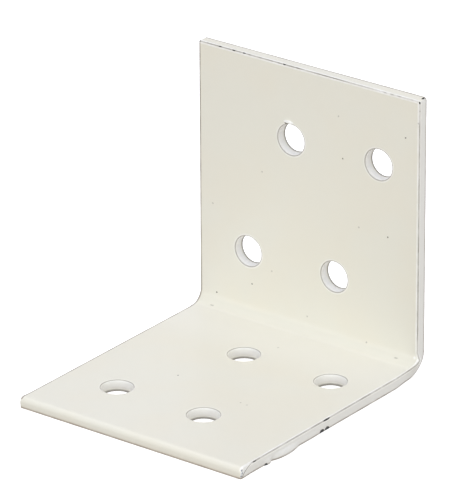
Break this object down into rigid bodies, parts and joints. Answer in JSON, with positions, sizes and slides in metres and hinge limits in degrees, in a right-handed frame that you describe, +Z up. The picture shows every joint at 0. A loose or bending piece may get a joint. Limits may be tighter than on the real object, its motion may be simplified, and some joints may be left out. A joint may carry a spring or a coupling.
{
  "type": "angle bracket",
  "caption": "L-shaped angle bracket folded from one steel sheet, with staggered round screw holes in both legs and a cream powder coat.",
  "frame": {"origin": "middle of the footprint, on the underside of the foot leg", "axes": "+Z up along the wall leg, +Y towards the back face of the wall leg, X along the fold"},
  "size_m": [0.0509, 0.056, 0.0547],
  "materials": {
    "coated_steel": "satin cream powder coat over sheet steel"
  },
  "bodies": {
    "root": {"bracket": "coated_steel"}
  },
  "joints": []
}
